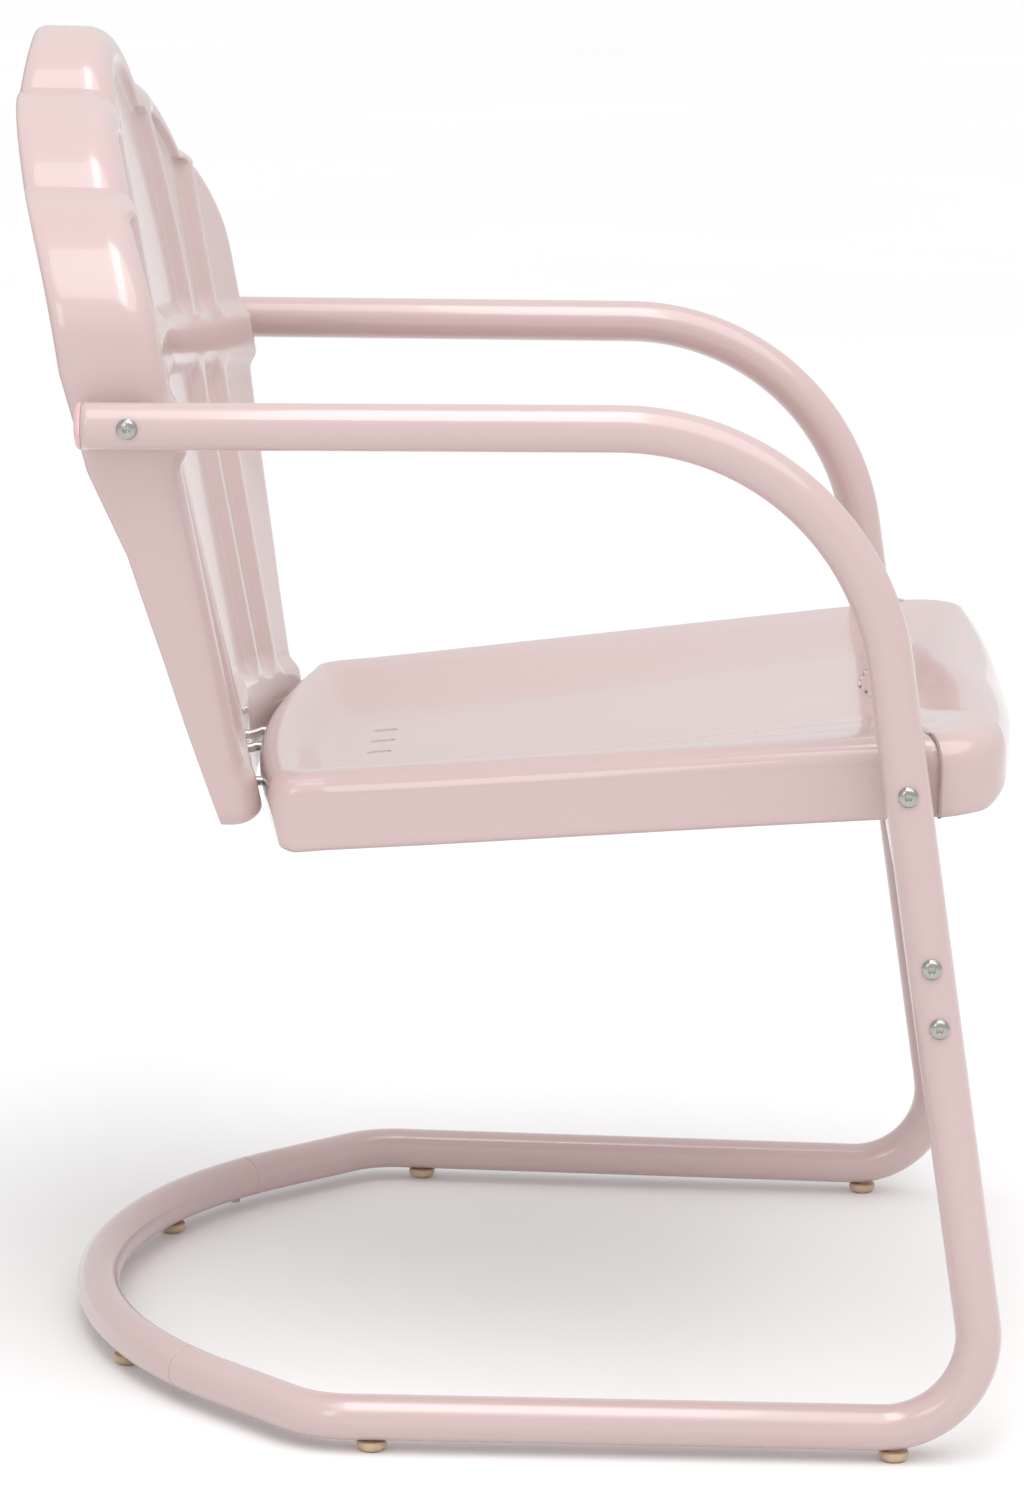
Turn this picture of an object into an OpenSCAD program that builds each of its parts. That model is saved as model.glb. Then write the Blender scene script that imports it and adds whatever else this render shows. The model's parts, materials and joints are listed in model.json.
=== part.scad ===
// Cantilever patio armchair: a pressed-steel shell seat and a scalloped shell
// back, carried by two bent tubes that stand on one closed floor loop.
// The chair faces -Y and stands on z = 0. "Forward" distances are measured
// towards the sitter's feet and turned into Y by the function y_at().

/* [Tubes] */
// Outside diameter of the frame tube
tube_d = 28.6; // [25:0.1:32]
// Wall of the frame tube
tube_wall = 1.6; // [1.2:0.1:2.5]
// Height of the floor rails' centre line
rail_z = 21; // [20:0.5:25]
// Distance from the chair's middle plane to a rail, halfway along
rail_x = 294.5; // [280:0.5:310]
// Inward lean of each side frame, in degrees
lean = 1.76; // [1:0.01:2.5]
// Narrowing of the side frames towards the front, in degrees
toe = 1.4; // [1:0.1:2]

/* [Side frame] */
// Height of the arm's centre line at its rear end
arm_z = 634.8; // [620:1:650]
// Forward position of the arm's rear end
arm_rear = 40; // [36:1:50]
// Rise of the arm towards the front, in degrees
arm_rise = 0.76; // [0:0.01:1.5]
// Radius of the bend between arm and leg
arm_bend_r = 166.7; // [150:1:180]
// Backward slope of the leg, in degrees from upright
leg_slope = 9.2; // [7:0.1:11]
// Forward position where the leg's centre line would meet the floor
leg_foot = 609.6; // [600:1:620]
// Radius of the springy bend between leg and floor rail
flex_r = 58.3; // [52:0.1:64]

/* [Floor loop] */
// Forward position of the corner where a rail turns inward
knuckle_at = 185.5; // [180:0.5:195]
// Radius of that corner
knuckle_r = 52; // [45:1:60]
// Radius of the rounded rear tube
loop_r = 328.5; // [320:0.5:335]
// Angle round the rear tube, from the middle to the joint with a rail
loop_half_angle = 40.6; // [38:0.1:42]

/* [Back] */
// Height of the bottom edge of the back
back_low = 369; // [365:1:372]
// Height of the back's waist, where it bends and is widest
waist_z = 617; // [610:1:625]
// Half the width of the back at its bottom edge
back_low_w = 195; // [190:1:200]
// Half the width of the back at its waist
back_waist_w = 263.5; // [260:0.5:265]
// How far the sides of the back stand forward of its middle
back_bow = 34; // [25:1:40]
// Radius of the rolled edge of the back
back_roll = 22; // [16:1:26]
// Sheet thickness of the back and the seat
sheet_t = 1.5; // [1.2:0.1:2.5]

/* [Seat] */
// Half the width of the seat at its rear
seat_rear_w = 205; // [200:1:210]
// Half the width of the seat near its front
seat_front_w = 256; // [250:1:259]
// Forward position of the seat's front edge, in the middle
seat_front = 617; // [605:1:625]
// Height of the seat's rim at the rear
rim_rear_z = 404; // [400:1:408]
// Rise of the rim towards the front, per millimetre
rim_rise = 0.112; // [0.09:0.001:0.125]
// Depth of the dished pan below the rim
pan_depth = 19; // [12:1:22]
// Height of the seat's skirt
skirt_h = 49; // [44:1:52]
// Radius of the seat's rolled edge
seat_roll = 18; // [12:1:22]

/* [Hardware] */
// Diameter of every bolt
bolt_d = 6; // [5:0.5:7]
// Diameter of the button heads
head_d = 12.7; // [11:0.1:14]
// Outside diameter of the front stretcher
stretcher_d = 22; // [18:1:24]
// Diameter of a foot at its flange
foot_d = 19; // [16:1:22]

/* [Hidden] */
$fn = 48;

pink = "#e9cfd0";
steel = "silver";
tan_plastic = "#c9ab86";
pink_plastic = "#e6bfc2";

middle = 296.5;            // forward position that becomes y = 0
rail_ref = 381;            // forward position at which rail_x holds
gap = 0.1;                 // air between pieces that are screwed together
bore_d = tube_d - 2 * tube_wall;
hole_d = bolt_d + 0.6;

function y_at(forward) = middle - forward;
function frame_x(forward, z) =
    rail_x - tan(toe) * (forward - rail_ref) - tan(lean) * (z - rail_z);
function leg_at(z) = leg_foot - z * tan(leg_slope);
function unit(v) = v / norm(v);
function mirrored(half) = concat(half, [for (i = [len(half) - 2 : -1 : 1]) [-half[i].x, half[i].y]]);

// ---------- frame tubes ----------

// Bolt places as [forward, height] on each side frame
arm_bolt = [68, 635];
seat_bolt = [541, 421];
stretcher_low = [leg_at(278), 278];
stretcher_high = [leg_at(315), 315];
stretcher_mid = (stretcher_low + stretcher_high) / 2;

// Side-frame outline in its own plane: x runs forward from rail_ref, y up from rail_z
leg_dir = [-sin(leg_slope), cos(leg_slope)];
flex_centre = [leg_foot - rail_z * tan(leg_slope) - rail_ref
    - flex_r * (1 / cos(leg_slope) + tan(leg_slope)), flex_r];
flex_top = flex_centre + flex_r * [cos(leg_slope), sin(leg_slope)];
arm_start = [arm_rear - rail_ref, arm_z - rail_z];
// The arm's bend touches both the arm's line and the leg's line
bend_turn = 90 - leg_slope + arm_rise;
corner_up = ((flex_top.x - arm_start.x) * tan(arm_rise) + arm_start.y - flex_top.y)
    / (leg_dir.y - leg_dir.x * tan(arm_rise));
corner = flex_top + corner_up * leg_dir;
bend_run = arm_bend_r * tan(bend_turn / 2);
bend_low = corner - bend_run * leg_dir;
bend_high = corner - bend_run * [cos(arm_rise), sin(arm_rise)];
bend_centre = bend_low - arm_bend_r * [cos(leg_slope), sin(leg_slope)];

module tube_section() {
    difference() {
        circle(d = tube_d);
        circle(d = bore_d);
    }
}

// The stretches of one tube stop this far short of their bends, so each stays a clean solid
joint_gap = 0.05;

module straight_tube(a, b) {
    run = b - a;
    translate([a.x, a.y, 0]) rotate([0, 90, atan2(run.y, run.x)]) translate([0, 0, joint_gap])
        linear_extrude(norm(run) - 2 * joint_gap) rotate(40) tube_section();
}

module bent_tube(centre, r, from, to) {
    translate([centre.x, centre.y, 0]) rotate([0, 0, from])
        rotate_extrude(angle = to - from) translate([r, 0]) tube_section();
}

// Stands a flat outline up in the left side frame's leaning plane
module side_plane() {
    translate([rail_x, y_at(rail_ref), rail_z]) rotate([0, -lean, -toe])
        rotate([90, 0, -90]) children();
}

module cross_hole(at, d = hole_d) {
    translate([frame_x(at.x, at.y) - tube_d, y_at(at.x), at.y])
        rotate([0, 90, 0]) cylinder(h = 2 * tube_d, d = d);
}

// One straight stretch of a side tube with its bolt holes
module drilled_stretch(a, b, holes) {
    difference() {
        side_plane() straight_tube(a, b);
        for (at = holes) cross_hole(at);
    }
}

module arm_leg_tube() {
    color(pink) {
        drilled_stretch(arm_start, bend_high, [arm_bolt]);
        side_plane() bent_tube(bend_centre, arm_bend_r, leg_slope, 90 + arm_rise);
        drilled_stretch(flex_top, bend_low, [seat_bolt, stretcher_low, stretcher_high]);
    }
}

module flex_bend() {
    color(pink) difference() {
        side_plane() bent_tube(flex_centre, flex_r, -90, leg_slope);
        foot_hole(front_foot_at);
    }
}

module arm_end_cap() {
    cap_t = 4;
    plug_l = 14;
    color(pink_plastic) side_plane()
        translate([arm_start.x, arm_start.y, 0]) rotate([0, 90, arm_rise]) rotate_extrude()
            polygon([[0, -cap_t], [tube_d / 2 - 2, -cap_t], [tube_d / 2, -cap_t + 2],
                [tube_d / 2, -gap], [bore_d / 2 - gap, -gap], [bore_d / 2 - gap, plug_l],
                [bore_d / 2 - 2, plug_l], [bore_d / 2 - 2, 1], [0, 1]]);
}

// Floor loop, drawn flat: x outward, y forward
slant = 45.1 - toe;                       // the slanted stretch, from straight back
knuckle = [frame_x(knuckle_at, rail_z), knuckle_at];
slant_dir = [-sin(slant), -cos(slant)];
rail_dir = [sin(toe), -cos(toe)];         // along the rail, rearward
knuckle_run = knuckle_r * tan(45.1 / 2);
rail_front = [frame_x(flex_centre.x * cos(toe) + rail_ref, rail_z), flex_centre.x * cos(toe) + rail_ref];
rail_rear = knuckle - knuckle_run * rail_dir;
slant_start = knuckle + knuckle_run * slant_dir;
knuckle_centre = rail_rear + knuckle_r * [-cos(toe), -sin(toe)];
loop_touch = 90 - slant;                  // angle round the loop where the slant runs into it
slant_end = knuckle + (knuckle.x - loop_r * sin(loop_touch)) / sin(slant) * slant_dir;
loop_centre = [0, slant_end.y + loop_r * cos(loop_touch)];

module loop_plane() {
    translate([0, y_at(0), rail_z]) mirror([0, 1, 0]) children();
}

function loop_point(angle) = loop_centre + loop_r * [sin(angle), -cos(angle)];

module base_rail() {
    color(pink) {
        difference() {
            loop_plane() straight_tube(rail_rear, rail_front);
            foot_hole(middle_foot_at);
        }
        loop_plane() {
            bent_tube(knuckle_centre, knuckle_r, -slant, toe);
            straight_tube(slant_start, slant_end);
            bent_tube(loop_centre, loop_r, -90 + loop_half_angle, -90 + loop_touch);
        }
    }
}

module rear_loop_tube() {
    color(pink) difference() {
        loop_plane() bent_tube(loop_centre, loop_r, -90 - loop_half_angle, -90 + loop_half_angle);
        for (side = [0, 1]) mirror([side, 0, 0]) {
            foot_hole(rear_foot_at);
            screw_hole(loop_half_angle - screw_angle);
        }
    }
}

// ---------- joint sleeves inside the floor loop ----------

screw_angle = 1.7;
sleeve_angle = 3;
sleeve_d = bore_d - 0.3;

module screw_hole(angle, d = 4.2) {
    at = loop_point(angle);
    translate([at.x, y_at(at.y), rail_z - tube_d]) cylinder(h = tube_d - 4, d = d);
}

module loop_sleeve() {
    color(steel) difference() {
        loop_plane() translate([0, loop_centre.y, 0])
            rotate([0, 0, -90 + loop_half_angle - sleeve_angle])
                rotate_extrude(angle = 2 * sleeve_angle) translate([loop_r, 0]) difference() {
                    circle(d = sleeve_d);
                    circle(d = sleeve_d - 3);
                }
        screw_hole(loop_half_angle - screw_angle, 3.6);
    }
}

// Small pan-head screws driven up through the loop tube into the sleeves from below
module loop_screws() {
    color(steel) for (side = [0, 1]) mirror([side, 0, 0]) {
        at = loop_point(loop_half_angle - screw_angle);
        translate([at.x, y_at(at.y), rail_z - tube_d / 2 - 2]) {
            cylinder(h = 2 - 0.05, d = 7);
            cylinder(h = 7.5, d = 3.4);
        }
    }
}

// ---------- feet ----------

front_foot_at = [frame_x(546, rail_z), 546];
middle_foot_at = [frame_x(222, rail_z), 222];
rear_foot_at = loop_point(26.2);
foot_stem_d = 7;

module foot_hole(at) {
    translate([at.x, y_at(at.y), rail_z - tube_d])
        cylinder(h = tube_d - 5, d = foot_stem_d + 0.4);
}

// Turned plastic glide with a stem that snaps into the tube
module foot(at) {
    top = rail_z - tube_d / 2 - gap / 2;
    color(tan_plastic) translate([at.x, y_at(at.y), 0]) rotate_extrude()
        polygon([[0, 0], [foot_d / 2 - 4, 0], [foot_d / 2 - 1.5, 1.4], [foot_d / 2, 4],
            [foot_d / 2, top - 1], [foot_d / 2 - 1, top], [foot_stem_d / 2, top],
            [foot_stem_d / 2, top + 8], [foot_stem_d / 2 - 1.5, top + 9.5], [0, top + 9.5]]);
}

// ---------- pressed shells ----------

// Face of the back: forward position of its front surface at [x, z]
bend_z = 600;
function back_face(x, z) =
    74 + (bend_z - z) * (z > bend_z ? 0.19 : 0.235) + back_bow * pow(x / 262, 2);

function arc_point(centre, r, angle) = centre + r * [cos(angle), sin(angle)];

// A lobe of the scalloped top from a to b, bulging outward by sag, without point b
function lobe(a, b, sag, steps) =
    let (half = norm(b - a) / 2, r = (half * half + sag * sag) / (2 * sag),
        out = unit([a.y - b.y, b.x - a.x]) * (a.y < b.y ? -1 : 1),
        along = unit(b - a), centre = (a + b) / 2 - (r - sag) * (out.y < 0 ? -out : out),
        up = out.y < 0 ? -out : out, sweep = asin(half / r))
    [for (i = [0 : steps - 1])
        let (t = sweep * (2 * i / steps - 1)) centre + r * (sin(t) * along + cos(t) * up)];

top_z = 855;
outer_notch = [175, 766];
inner_notch = [72, 819];
shoulder = [263, 701];
foot_corner = 14;
back_half = concat(
    [for (i = [0 : 4]) [(back_low_w - foot_corner) * i / 4, back_low]],
    [for (i = [1 : 3]) arc_point([back_low_w - foot_corner, back_low + foot_corner],
        foot_corner, -90 + i * 27)],
    [for (i = [1 : 7]) let (t = i / 7)
        [back_low_w + (back_waist_w - back_low_w) * t, back_low + foot_corner
            + (waist_z - back_low - foot_corner) * t]],
    [for (i = [1 : 2]) [back_waist_w + 0.5, waist_z + (shoulder.y - waist_z) * i / 3]],
    lobe(shoulder, outer_notch, 12, 8),
    lobe(outer_notch, inner_notch, 12, 8),
    lobe(inner_notch, [-inner_notch.x, inner_notch.y], top_z - inner_notch.y, 16));
back_outline = let (upper = [for (p = back_half) if (p.x > -0.001) p]) mirrored(upper);

// Depth of the flange that the back's edge turns into, by height
flange_by_z = [[369, 25], [436, 34], [549, 48], [604, 62], [663, 68], [816, 64], [855, 52]];

function towards(p, low, high) = unit([p.x, p.y - min(max(p.y, low), high)]);

// The roll is tighter along the bottom edge than round the sides and the top
function back_roll_at(d) = back_roll * (d.y < 0 ? 1 - 0.6 * d.y * d.y : 1);

function back_ring(f) = [for (p = back_outline)
    let (d = towards(p, 480, 700), spine = [0, min(max(p.y, 430), 760)],
        q = spine + (p - back_roll_at(d) * d - spine) * f)
    [q.x, y_at(back_face(q.x, q.y)), q.y]];

// A ring of the rolled edge, by the angle turned, or of the flange behind it
function back_edge_ring(angle, flange_part) = [for (p = back_outline)
    let (d = towards(p, 480, 700), roll = back_roll_at(d), in = p - roll * d,
        q = in + roll * sin(angle) * d, deep = lookup(p.y, flange_by_z))
    [q.x, y_at(back_face(in.x, in.y) - roll * (1 - cos(angle)) - flange_part * (deep - roll)), q.y]];

back_rings = concat(
    [for (f = [0.06, 0.25, 0.45, 0.62, 0.77, 0.9, 1]) back_ring(f)],
    [for (a = [30, 60, 90]) back_edge_ring(a, 0)],
    [for (part = [0.5, 1]) back_edge_ring(90, part)]);

// Direction in which the sheet's show side faces at a grid point
function sheet_normal(rings, j, i) =
    let (n = len(rings[0]), m = len(rings),
        along = rings[j][(i + 1) % n] - rings[j][(i + n - 1) % n],
        outward = rings[min(j + 1, m - 1)][i] - rings[max(j - 1, 0)][i])
    unit(cross(outward, along));

// Closed sheet from rings of points, middle first; the outlines are mirrored left to right
module sheet(rings, flip) {
    n = len(rings[0]);
    m = len(rings);
    side = flip ? -1 : 1;
    show = [for (r = rings) each r];
    hidden = [for (j = [0 : m - 1]) for (i = [0 : n - 1])
        rings[j][i] + side * sheet_t * sheet_normal(rings, j, i)];
    skin = concat(
        [for (j = [0 : m - 2]) for (i = [0 : n - 1]) let (a = j * n + i, b = j * n + (i + 1) % n)
            each [[a, b, b + n], [a, b + n, a + n]]],
        [[0, n - 1, 1]],
        [for (i = [1 : n / 2 - 2]) each [[i, n - i, n - i - 1], [i, n - i - 1, i + 1]]],
        [[n / 2 - 1, n / 2 + 1, n / 2]]);
    back_skin = [for (f = skin) [f[2] + m * n, f[1] + m * n, f[0] + m * n]];
    last = (m - 1) * n;
    rim = [for (i = [0 : n - 1]) let (a = last + i, b = last + (i + 1) % n)
        each [[a, b, b + m * n], [a, b + m * n, a + m * n]]];
    faces = concat(skin, back_skin, rim);
    polyhedron(concat(show, hidden), flip ? faces : [for (f = faces) [f[2], f[1], f[0]]]);
}

module back_shell() {
    color(pink) difference() {
        sheet(back_rings, true);
        for (side = [0, 1]) mirror([side, 0, 0]) {
            cross_hole_inner(arm_bolt, 40);
            seat_back_axis(26) cylinder(h = 60, d = hole_d, center = true);
        }
    }
}

module cross_hole_inner(at, reach) {
    translate([frame_x(at.x, at.y) - tube_d / 2 - reach, y_at(at.x), at.y])
        rotate([0, 90, 0]) cylinder(h = reach, d = hole_d);
}

// Seat rim: height at a forward position
function rim_z(forward) = rim_rear_z + rim_rise * (forward - 150);
seat_rear = 128;
rear_corner = 30;
front_corner = 48;
side_slope = (seat_front_w - seat_rear_w) / (seat_front - front_corner - seat_rear - rear_corner);
seat_half = concat(
    [for (i = [0 : 5]) let (x = (seat_rear_w - rear_corner) * i / 5) [x, seat_rear + 20 * pow(x / 200, 2)]],
    [for (i = [1 : 3]) arc_point([seat_rear_w - rear_corner, seat_rear + 15 + rear_corner],
        rear_corner, -90 + i * 28)],
    [for (i = [0 : 7]) let (u = 180 + i * 55) [seat_rear_w + (u - 180) * side_slope, u]],
    [for (i = [1 : 5]) arc_point([seat_front_w - front_corner, seat_front - 12 - front_corner],
        front_corner, i * 17)],
    [for (i = [4 : -1 : 0]) let (x = (seat_front_w - front_corner) * i / 5)
        [x, seat_front - 12 * pow(x / 208, 2)]]);
seat_outline = mirrored(seat_half);

function clear_of_back(p) = [p.x, min(p.y, y_at(back_face(p.x, p.z) + 3.5)), p.z];

function seat_ring(f) = [for (p = seat_outline)
    let (d = towards(p, 250, 460), spine = [0, min(max(p.y, 200), 520)],
        q = spine + (p - seat_roll * d - spine) * f, dish = pan_depth * (1 - pow(f, 4)))
    clear_of_back([q.x, y_at(q.y), rim_z(q.y) - dish])];

function seat_edge_ring(out, drop) = [for (p = seat_outline)
    let (d = towards(p, 250, 460), q = p - (seat_roll - out) * d, in = p - seat_roll * d)
    clear_of_back([q.x, y_at(q.y), rim_z(in.y) - drop])];

seat_rings = concat(
    [for (f = [0.06, 0.3, 0.5, 0.66, 0.8, 0.9, 1]) seat_ring(f)],
    [for (a = [30, 60, 90]) seat_edge_ring(seat_roll * sin(a), seat_roll * (1 - cos(a)))],
    [for (part = [0.5, 1]) seat_edge_ring(seat_roll, seat_roll + part * (skirt_h - seat_roll))]);

module seat_shell() {
    color(pink) difference() {
        sheet(seat_rings, false);
        for (side = [0, 1]) mirror([side, 0, 0]) {
            cross_hole_inner(seat_bolt, 40);
            seat_back_axis(26) cylinder(h = 60, d = hole_d, center = true);
        }
        for (x = [-36, 0, 36]) translate([x, y_at(206), 380]) drain_slot();
    }
}

module drain_slot() {
    slot_l = 16;
    slot_w = 5;
    for (s = [-1, 1]) translate([0, s * (slot_l - slot_w) / 2, -15]) cylinder(h = 40, d = slot_w);
    translate([-slot_w / 2, -(slot_l - slot_w) / 2, -15]) cube([slot_w, slot_l - slot_w, 40]);
}

// ---------- fasteners ----------

// Button-head bolt with a hex socket: head above z = 0, shank down
module button_bolt(length) {
    head_h = 3.4;
    difference() {
        rotate_extrude() polygon([[0, -length], [bolt_d / 2 - 0.7, -length],
            [bolt_d / 2, -length + 0.7], [bolt_d / 2, 0], [head_d / 2, 0], [head_d / 2, 1],
            [head_d / 2 - 1, 2.4], [head_d / 2 - 2.6, head_h], [0, head_h]]);
        translate([0, 0, head_h - 2]) cylinder(h = 3, d = 4.6, $fn = 6);
    }
}

module hex_nut() {
    difference() {
        cylinder(h = 5, d = 11.5, $fn = 6);
        translate([0, 0, -1]) cylinder(h = 7, d = bolt_d + 0.2);
    }
}

// Puts the outer face of the left tube at a bolt place on the drawing's z = 0
module on_left_tube(at) {
    translate([frame_x(at.x, at.y) + tube_d / 2 + gap, y_at(at.x), at.y])
        rotate([0, 90, 0]) children();
}

function inner_face(at) = frame_x(at.x, at.y) - tube_d / 2;
back_side_x = back_waist_w + 0.3;
seat_side_x = seat_rear_w + (seat_bolt.x - 180) * side_slope;
slanted_gap = 1.1;          // air beside the seat's slanted skirt

module bolts_through(at, length) {
    color(steel) for (side = [0, 1]) mirror([side, 0, 0]) on_left_tube(at) button_bolt(length);
}

module spacers(at, shell_x, air) {
    length = inner_face(at) - shell_x - air - 2 * gap;
    color(steel) for (side = [0, 1]) mirror([side, 0, 0])
        translate([shell_x + air, y_at(at.x), at.y]) rotate([0, 90, 0]) difference() {
            cylinder(h = length, d = 13);
            translate([0, 0, -1]) cylinder(h = length + 2, d = hole_d);
        }
}

module nuts_inside(at, shell_x, air) {
    color(steel) for (side = [0, 1]) mirror([side, 0, 0])
        translate([shell_x - sheet_t - 5 - air, y_at(at.x), at.y]) rotate([0, 90, 0]) hex_nut();
}

arm_bolt_l = tube_d + (inner_face(arm_bolt) - back_side_x) + sheet_t + 8;
seat_bolt_l = tube_d + (inner_face(seat_bolt) - seat_side_x) + sheet_t + 8;

module arm_bolts() { bolts_through(arm_bolt, arm_bolt_l); }
module arm_spacers() { spacers(arm_bolt, back_side_x, 2 * gap); }
module arm_nuts() { nuts_inside(arm_bolt, back_side_x, 3 * gap); }
module seat_bolts() { bolts_through(seat_bolt, seat_bolt_l); }
module seat_spacers() { spacers(seat_bolt, seat_side_x, slanted_gap); }
module seat_nuts() { nuts_inside(seat_bolt, seat_side_x, slanted_gap); }

// Two bolts on each side join the rear skirt of the seat to the lower back
seat_back_z = 388;
module seat_back_axis(x) {
    for (across = [x, x + 110]) translate([across, y_at(back_face(across, seat_back_z)), seat_back_z])
        rotate([90, 0, 0]) children();
}

module seat_back_bolts() {
    color(steel) for (side = [0, 1]) mirror([side, 0, 0]) seat_back_axis(26)
        translate([0, 0, -sheet_t - 3.2]) mirror([0, 0, 1]) button_bolt(20);
}

module seat_back_nuts() {
    color(steel) for (side = [0, 1]) mirror([side, 0, 0]) seat_back_axis(26)
        translate([0, 0, 9.5]) hex_nut();
}

// ---------- front stretcher ----------

bracket_t = 4;
bracket_x = inner_face(stretcher_mid) - 2 * gap;
bracket_h = 62;
bracket_w = 24;

module stretcher_bolts() {
    color(steel) for (side = [0, 1]) mirror([side, 0, 0])
        for (at = [stretcher_low, stretcher_high]) on_left_tube(at) button_bolt(tube_d + 9);
}

module stretcher_bracket() {
    color(pink) difference() {
        translate([bracket_x - 0.6, y_at(stretcher_mid.x), stretcher_mid.y]) rotate([-leg_slope, -lean, 0])
            translate([-bracket_t, -bracket_w / 2, -bracket_h / 2]) cube([bracket_t, bracket_w, bracket_h]);
        for (at = [stretcher_low, stretcher_high]) cross_hole_inner(at, 20);
    }
}

module front_stretcher_tube() {
    half = bracket_x - bracket_t - 1.2;
    color(pink) translate([-half, y_at(stretcher_mid.x), stretcher_mid.y]) rotate([0, 90, 0])
        difference() {
            cylinder(h = 2 * half, d = stretcher_d);
            translate([0, 0, -1]) cylinder(h = 2 * half + 2, d = stretcher_d - 3);
        }
}

module right() { mirror([1, 0, 0]) children(); }

back_shell();
seat_shell();
arm_leg_tube();  // left_arm_leg_tube
right() arm_leg_tube();  // right_arm_leg_tube
flex_bend();  // left_flex_bend
right() flex_bend();  // right_flex_bend
base_rail();  // left_base_rail
right() base_rail();  // right_base_rail
rear_loop_tube();
loop_sleeve();  // left_loop_sleeve
right() loop_sleeve();  // right_loop_sleeve
loop_screws();
front_stretcher_tube();
stretcher_bracket();  // left_stretcher_bracket
right() stretcher_bracket();  // right_stretcher_bracket
arm_end_cap();  // left_arm_end_cap
right() arm_end_cap();  // right_arm_end_cap
arm_bolts();
arm_spacers();
arm_nuts();
seat_bolts();
seat_spacers();
seat_nuts();
stretcher_bolts();
seat_back_bolts();
seat_back_nuts();
foot(front_foot_at);  // left_front_foot
right() foot(front_foot_at);  // right_front_foot
foot(middle_foot_at);  // left_middle_foot
right() foot(middle_foot_at);  // right_middle_foot
foot(rear_foot_at);  // left_rear_foot
right() foot(rear_foot_at);  // right_rear_foot
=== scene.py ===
"""Looks for the pale pink cantilever patio armchair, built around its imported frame."""

import json
import math

import bmesh
import bpy
import numpy as np
from mathutils import Matrix, Vector


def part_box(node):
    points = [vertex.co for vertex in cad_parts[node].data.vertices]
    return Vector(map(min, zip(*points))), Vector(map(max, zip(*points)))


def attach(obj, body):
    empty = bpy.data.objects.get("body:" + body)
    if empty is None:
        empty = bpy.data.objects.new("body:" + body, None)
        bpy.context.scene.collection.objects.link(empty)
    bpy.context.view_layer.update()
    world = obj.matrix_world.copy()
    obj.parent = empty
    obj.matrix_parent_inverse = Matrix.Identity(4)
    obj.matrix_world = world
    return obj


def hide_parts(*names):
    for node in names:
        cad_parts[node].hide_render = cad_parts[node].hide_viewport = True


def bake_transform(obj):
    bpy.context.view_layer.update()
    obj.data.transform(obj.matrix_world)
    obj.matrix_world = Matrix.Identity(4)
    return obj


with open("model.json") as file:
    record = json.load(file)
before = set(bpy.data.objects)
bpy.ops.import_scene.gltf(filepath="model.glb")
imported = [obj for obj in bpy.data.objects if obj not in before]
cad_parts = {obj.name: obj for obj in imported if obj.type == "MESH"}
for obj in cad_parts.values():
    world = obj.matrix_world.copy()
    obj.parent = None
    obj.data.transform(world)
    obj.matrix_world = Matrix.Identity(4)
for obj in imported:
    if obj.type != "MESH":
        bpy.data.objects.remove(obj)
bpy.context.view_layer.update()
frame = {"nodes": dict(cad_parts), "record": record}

MM = 0.001

# ---------- driving dimensions, in millimetres and degrees ----------

MIDDLE = 296.5                 # forward position that is y = 0
TUBE_R = 14.3
RAIL_Z, RAIL_X, RAIL_REF = 21.0, 294.5, 381.0
LEAN, TOE = 1.76, 1.4
ARM_REAR, ARM_Z, ARM_RISE, ARM_BEND_R = 40.0, 634.8, 0.76, 166.7
LEG_SLOPE, LEG_FOOT, FLEX_R = 9.2, 609.6, 58.3
KNUCKLE_AT, KNUCKLE_R, KNUCKLE_TURN = 185.5, 52.0, 45.1
LOOP_R, LOOP_HALF = 328.5, 40.6

BACK_LOW, BACK_LOW_W, WAIST_Z, BACK_WAIST_W = 369.0, 195.0, 617.0, 263.5
BACK_BEND_Z, BACK_BOW, BACK_ROLL = 600.0, 34.0, 22.0
SHOULDER, OUTER_NOTCH, INNER_NOTCH, TOP_Z = (263.0, 701.0), (175.0, 766.0), (72.0, 819.0), 855.0
FLANGE_BY_Z = ((369, 25), (436, 34), (549, 48), (604, 62), (663, 68), (816, 64), (855, 52))
PANEL_DEPTH = 6.5              # depth of the pressed panels in the back
SHEET_T = 1.5
LOW_ROLL_TRIM = 0.6            # how much tighter the back's roll is along its bottom edge
SHOULDER_EASE, EASE_PASSES = 34.0, 60

SEAT_REAR, SEAT_REAR_W = 128.0, 205.0
SEAT_FRONT, SEAT_FRONT_W = 617.0, 256.0
REAR_CORNER, FRONT_CORNER = 30.0, 48.0
RIM_REAR_Z, RIM_RISE, SKIRT_H = 404.0, 0.112, 49.0
SEAT_TO_BACK = 3.5             # air between the seat's rear and the back
DRAIN_XS, DRAIN_AT = (-36, 0, 36), 206


def sin_d(a):
    return math.sin(math.radians(a))


def cos_d(a):
    return math.cos(math.radians(a))


def tan_d(a):
    return math.tan(math.radians(a))


def y_at(forward):
    return MIDDLE - forward


def smoothstep(low, high, value):
    t = min(max((value - low) / (high - low), 0.0), 1.0)
    return t * t * (3 - 2 * t)


def frame_x(forward, z):
    return RAIL_X - tan_d(TOE) * (forward - RAIL_REF) - tan_d(LEAN) * (z - RAIL_Z)


# ---------- mesh helpers ----------

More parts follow.
